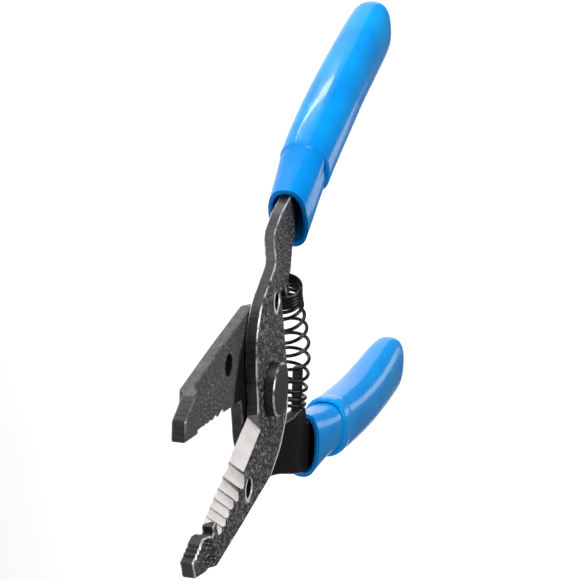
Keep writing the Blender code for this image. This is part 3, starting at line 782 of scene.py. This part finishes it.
def smooth_path(points, count):
    """Catmull-Rom curve through the points, cut into equal lengths."""
    pts = [Vector(p) for p in points]
    pts = [pts[0] * 2 - pts[1]] + pts + [pts[-1] * 2 - pts[-2]]
    dense = []
    for a, b, c, d in zip(pts, pts[1:], pts[2:], pts[3:]):
        for k in range(24):
            t = k / 24
            dense.append(0.5 * (2 * b + (c - a) * t + (2 * a - 5 * b + 4 * c - d) * t * t
                                + (3 * b - a - 3 * c + d) * t ** 3))
    dense.append(pts[-2])
    lengths = [0.0]
    for a, b in zip(dense, dense[1:]):
        lengths.append(lengths[-1] + (b - a).length)
    out, i = [], 0
    for k in range(count + 1):
        s = lengths[-1] * k / count
        while i < len(dense) - 2 and lengths[i + 1] < s:
            i += 1
        f = (s - lengths[i]) / max(lengths[i + 1] - lengths[i], 1e-9)
        out.append(dense[i].lerp(dense[i + 1], min(max(f, 0.0), 1.0)))
    return out


def opened(side, x, y, z):
    """Point of a closed lever drawing, in millimetres, with the tool resting open."""
    turn = math.radians(HALF_OPEN_DEG)
    if side == "rear":
        y, z, turn = -y, -z, -turn
    c, s = math.cos(turn), math.sin(turn)
    return (c * x - s * y, s * x + c * y, z)


def build_spring(material):
    front, rear = (opened(side, PEG_X, SEAT[side] - SPRING_SEAT_GAP, SPRING_END_Z[side])
                   for side in ("front", "rear"))
    path = smooth_path([front, *SPRING_BOW, rear], PATH_STEPS)
    marks = [(0.0, 0.0), FIRST_PART_TURN]
    for pitch in TURN_PITCH:
        marks.append((marks[-1][0] + 1, marks[-1][1] + pitch))
    marks.append((marks[-1][0] + LAST_PART_TURN[0], marks[-1][1] + LAST_PART_TURN[1]))
    turns, advance = marks[-1]
    steps = int(turns * STEPS_PER_TURN)

    def along_path(turn):
        for (t0, s0), (t1, s1) in zip(marks, marks[1:]):
            if turn <= t1:
                return (s0 + (s1 - s0) * (turn - t0) / (t1 - t0)) / advance
        return 1.0

    shares = [sum(along_path(max(turns * k / steps + d / 8, 0.0)) for d in range(-3, 4)) / 7
              for k in range(steps + 1)]
    shares[0], shares[-1] = 0.0, 1.0
    centres, axes = [], []
    for k, done in enumerate(shares):
        s = done * PATH_STEPS
        i = min(int(s), PATH_STEPS - 1)
        here = path[i].lerp(path[i + 1], s - i)
        tangent = (path[min(i + 4, PATH_STEPS)] - path[max(i - 3, 0)]).normalized()
        lean = math.radians(COIL_LEAN_DEG) * math.sin(math.pi * done)
        tangent.rotate(Matrix.Rotation(lean, 3, "Z"))
        across = tangent.cross(Vector((0, 0, 1))).normalized()
        up = across.cross(tangent)
        a = -2 * math.pi * turns * k / steps
        centres.append(here + (across * math.cos(a) + up * math.sin(a)) * COIL_R)
        axes.append(here)
    rings = []
    for k, c in enumerate(centres):
        along = (centres[min(k + 1, steps)] - centres[max(k - 1, 0)]).normalized()
        outward = (c - axes[k]) - along * (c - axes[k]).dot(along)
        outward.normalize()
        other = along.cross(outward)
        rings.append([c + (outward * math.cos(2 * math.pi * j / WIRE_SIDES)
                           + other * math.sin(2 * math.pi * j / WIRE_SIDES)) * WIRE_R
                      for j in range(WIRE_SIDES)])
    ob = new_object("return_spring_wire", lofted(rings), [material])
    smooth(ob.data, 40)
    settle(ob)
    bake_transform(ob)
    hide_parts("return_spring")
    return ob


# ---- grips -----------------------------------------------------------------------------------
def oval(x, yc, half_w, half_t, lift, swell=0.0):
    """Superellipse ring; swell pushes only the outward-facing side of the grip out."""
    pts = []
    for k in range(RING):
        a = 2 * math.pi * k / RING
        c, s = math.cos(a), math.sin(a)
        f = min(1.0, max(0.0, (c - 0.1) / 0.45))
        grow = swell * f * f * (3 - 2 * f)
        pts.append(Vector((x, yc + (half_w + grow) * math.copysign(abs(c) ** (2 / OVAL_POWER), c),
                           lift - HANDLE_CROSS + (half_t + grow)
                           * math.copysign(abs(s) ** (2 / OVAL_POWER), s))))
    return pts


def resampled(stations, step=0.8):
    """Smooth stations: Catmull-Rom through the given ones, in x."""
    xs = [s[0] for s in stations]
    out = []
    count = max(2, int((xs[-1] - xs[0]) / step))
    for k in range(count + 1):
        x = xs[0] + (xs[-1] - xs[0]) * k / count
        i = max(j for j in range(len(xs) - 1) if xs[j] <= x + 1e-9)
        t = (x - xs[i]) / (xs[i + 1] - xs[i])
        row = [x]
        for d in range(1, 5):
            p1, p2 = stations[i][d], stations[i + 1][d]
            h = xs[i + 1] - xs[i]
            m1 = ((p2 - stations[i - 1][d]) / (xs[i + 1] - xs[i - 1]) if i > 0
                  else (p2 - p1) / h)
            m2 = ((stations[i + 2][d] - p1) / (xs[i + 2] - xs[i]) if i + 2 < len(xs)
                  else (p2 - p1) / h)
            row.append((2 * t ** 3 - 3 * t ** 2 + 1) * p1 + (t ** 3 - 2 * t ** 2 + t) * h * m1
                       + (-2 * t ** 3 + 3 * t ** 2) * p2 + (t ** 3 - t ** 2) * h * m2)
        out.append(tuple(row))
    return out


def rounded_end(last, end_x, steps=16):
    """Stations that close the grip in a dome past its last one."""
    x0, yc, w, t, lift = last
    out = []
    for k in range(1, steps + 1):
        a = math.pi / 2 * k / (steps + 0.35)
        out.append((x0 + (end_x - x0) * math.sin(a), yc - 0.5 * math.sin(a),
                    w * math.cos(a) ** 0.9, t * math.cos(a) ** 0.9, lift))
    return out


def shrunk(stations, wall):
    """The same stations, one wall smaller all round."""
    return [(x, yc, w - wall, t - wall, lift) for x, yc, w, t, lift in stations]


def lip(first, radius, steps=8):
    """Stations that roll the mouth's outer surface round into the bore."""
    x0, yc, w, t, lift = first
    out = []
    for k in range(steps + 1):
        a = math.pi * k / steps
        out.append((x0 + radius - radius * math.sin(a), yc, w - radius * (1 + math.cos(a)),
                    t - radius * (1 + math.cos(a)), lift))
    return out


def ramped(x, knots):
    """Piecewise linear curve, flat past both ends."""
    if x <= knots[0][0]:
        return knots[0][1]
    for (x0, y0), (x1, y1) in zip(knots, knots[1:]):
        if x <= x1:
            return y0 + (y1 - y0) * (x - x0) / (x1 - x0)
    return knots[-1][1]


def build_grips(side, first_mat, second_mat):
    mouth, coat = FIRST_DIP[side], SECOND_DIP[side]
    if side == "rear":
        coat = coat[:2] + REAR_BEAD + coat[2:]
    under = shrunk(coat[1:], DIP_WALL + LAYER_GAP)
    skin = resampled(list(mouth[1:]) + [(STEP_X + 0.2, *under[0][1:])] + under)
    if side == "front":
        skin = [(*st, ramped(st[0], FRONT_SWELL)) for st in skin]
    outer = skin + rounded_end(under[-1], GRIP_END_X[side] - DIP_WALL - FIRST_END_GAP)
    bore = resampled(shrunk(mouth[1:], 2 * LIP_R)
                     + [(STEP_X + 0.2, *shrunk(under[:1], UNDER_WALL)[0][1:])]
                     + shrunk(under[1:-1], UNDER_WALL), 2.0)
    rolled = lip(mouth[1], LIP_R)
    first = new_object(side + "_grip_first_dip_skin",
                       lofted([oval(*s) for s in list(reversed(bore)) + rolled[1:-1] + outer]),
                       [first_mat])
    cover = shrunk(coat[1:], DIP_WALL)
    second_outer = resampled(coat[1:]) + rounded_end(coat[-1], GRIP_END_X[side])
    inner = resampled(cover, 2.0)
    inner += rounded_end(cover[-1], GRIP_END_X[side] - DIP_WALL - SECOND_END_WALL)
    x1, yc1, w1, t1, lift1 = coat[1]
    edge = [(x1 - EDGE_RUN, yc1 - 0.1, w1 - DIP_WALL - 0.02, t1 - DIP_WALL - 0.02, lift1)]
    for k in range(9):
        a = math.pi / 2 * k / 8
        drop = DIP_WALL * (1 - math.sin(a))
        edge.append((x1 - EDGE_RUN * math.cos(a), yc1 - 0.1 * math.cos(a), w1 - drop, t1 - drop,
                     lift1, drop * 0.97 if side == "front" else 0.0))
    second = new_object(side + "_grip_second_dip_skin",
                        lofted([oval(*s) for s in list(reversed(inner))[:-1] + edge
                                + second_outer[1:]]), [second_mat])
    for ob, node, slot in ((first, "first_dip", "first_dip_vinyl"),
                           (second, "second_dip", "second_dip_vinyl")):
        smooth(ob.data, 60)
        settle(ob, side)
        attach(ob, BODY[side])
        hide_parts("%s_grip_%s" % (side, node))


# ---- camera, light and floor -----------------------------------------------------------------
# the camera's axes in the row frame, its place in metres and its lens in millimetres, from a
# least-squares fit to the picture
RIGHT = Vector((0.26637308, -0.03213226, 0.96333426))
UP = Vector((0.37539634, 0.92398662, -0.07298162))
BACK = Vector((-0.8877629, 0.3810725, 0.25818749))
CAMERA_AT = Vector((-0.2800135, 0.1422370, 0.0929015))
LENS = 99.525
AIM = CAMERA_AT - BACK * 0.34
FLOOR_Z = -0.16


def build_camera():
    data = bpy.data.cameras.new("camera")
    data.lens, data.sensor_width = LENS, 36.0
    data.clip_start, data.clip_end = 0.01, 50.0
    cam = bpy.data.objects.new("camera", data)
    bpy.context.scene.collection.objects.link(cam)
    turn = Matrix((RIGHT, UP, BACK)).transposed().to_4x4()
    cam.matrix_world = Matrix.Translation(CAMERA_AT) @ turn
    bpy.context.scene.camera = cam


def softbox(name, offset, width, height, power, colour=(1, 1, 1), aim=AIM):
    """Area light placed by its offset along the camera's right, up and back axes."""
    data = bpy.data.lights.new(name, "AREA")
    data.shape, data.size, data.size_y = "RECTANGLE", width, height
    data.energy, data.color = power, colour
    light = bpy.data.objects.new(name, data)
    bpy.context.scene.collection.objects.link(light)
    at = aim + RIGHT * offset[0] + UP * offset[1] + BACK * offset[2]
    facing = (aim - at).to_track_quat("-Z", "Y").to_matrix().to_4x4()
    light.matrix_world = Matrix.Translation(at) @ facing


def build_studio():
    bm = bmesh.new()
    rim = [bm.verts.new((9 * math.cos(a), 9 * math.sin(a), FLOOR_Z))
           for a in (2 * math.pi * k / 64 for k in range(64))]
    bm.faces.new(rim)
    floor = new_object("studio_floor", bm, [plain_pale("pale_floor")])
    world = bpy.data.worlds.new("studio")
    world.use_nodes = True
    world.node_tree.nodes["Background"].inputs["Color"].default_value = (1, 1, 1, 1)
    world.node_tree.nodes["Background"].inputs["Strength"].default_value = 0.15
    bpy.context.scene.world = world
    softbox("key_softbox", (0.7, 0.15, 0.6), 0.35, 0.5, 4.6)
    softbox("top_softbox", (0.1, 0.9, 0.3), 0.4, 0.35, 5.0)
    softbox("rim_softbox", (0.62, 0.05, -0.62), 0.12, 0.5, 0.35)
    softbox("streak_strip", (-0.045, 0.25, -0.11), 0.014, 0.09, 0.11,
            aim=Vector((0.062, 0.032, 0.003)))
    bpy.context.scene.view_settings.view_transform = "Standard"


# ---- assembly --------------------------------------------------------------------------------
# bare edges: the front lever's painted bright as a highlight, the rear's a dimmer, shaded copy
edge_highlight_steel = {"front": edge_wear_and_highlight("front_edge_wear_and_highlight", (0.85, 0.84, 0.83)),
              "rear": edge_wear_and_highlight("rear_edge_wear_and_shade", (0.22, 0.22, 0.22))}
# the hole bores are painted near black as shade
notch_shade_steel, bore_shade_steel = shaded_notch_wall("notch_wall_painted_shade"), painted_shade_bore("painted_shade_bore")
bevel_and_highlight_steel = ground_steel("ground_bevel_and_highlight_steel")
side_steel = sheared_side("sheared_side_steel")
for which, turn_deg in (("front", 0), ("rear", 37)):
    build_lever(which, black_oxide("black_oxide_" + which, turn_deg, which == "rear"),
                edge_highlight_steel[which], bevel_and_highlight_steel, side_steel, notch_shade_steel, bore_shade_steel)
    build_grips(which,
                vinyl(which + "_first_dip_blue", (0.001, 0.24, 0.74), (0.002, 0.33, 0.86)),
                vinyl(which + "_second_dip_blue", (0.001, 0.26, 0.78), (0.002, 0.37, 0.90)))
# painted highlight: the front jaw's bright rim line and hole arcs, in the bevel's ground steel
build_painted_rim_highlight(bevel_and_highlight_steel)
build_gauge_marks(edge_wear_and_highlight("stamped_mark_grey", (0.3, 0.3, 0.3)))
build_rivet(rivet_finish("rivet_black"), edge_highlight_steel["front"])
build_spring(oiled_wire("oil_black_wire"))
build_camera()
build_studio()
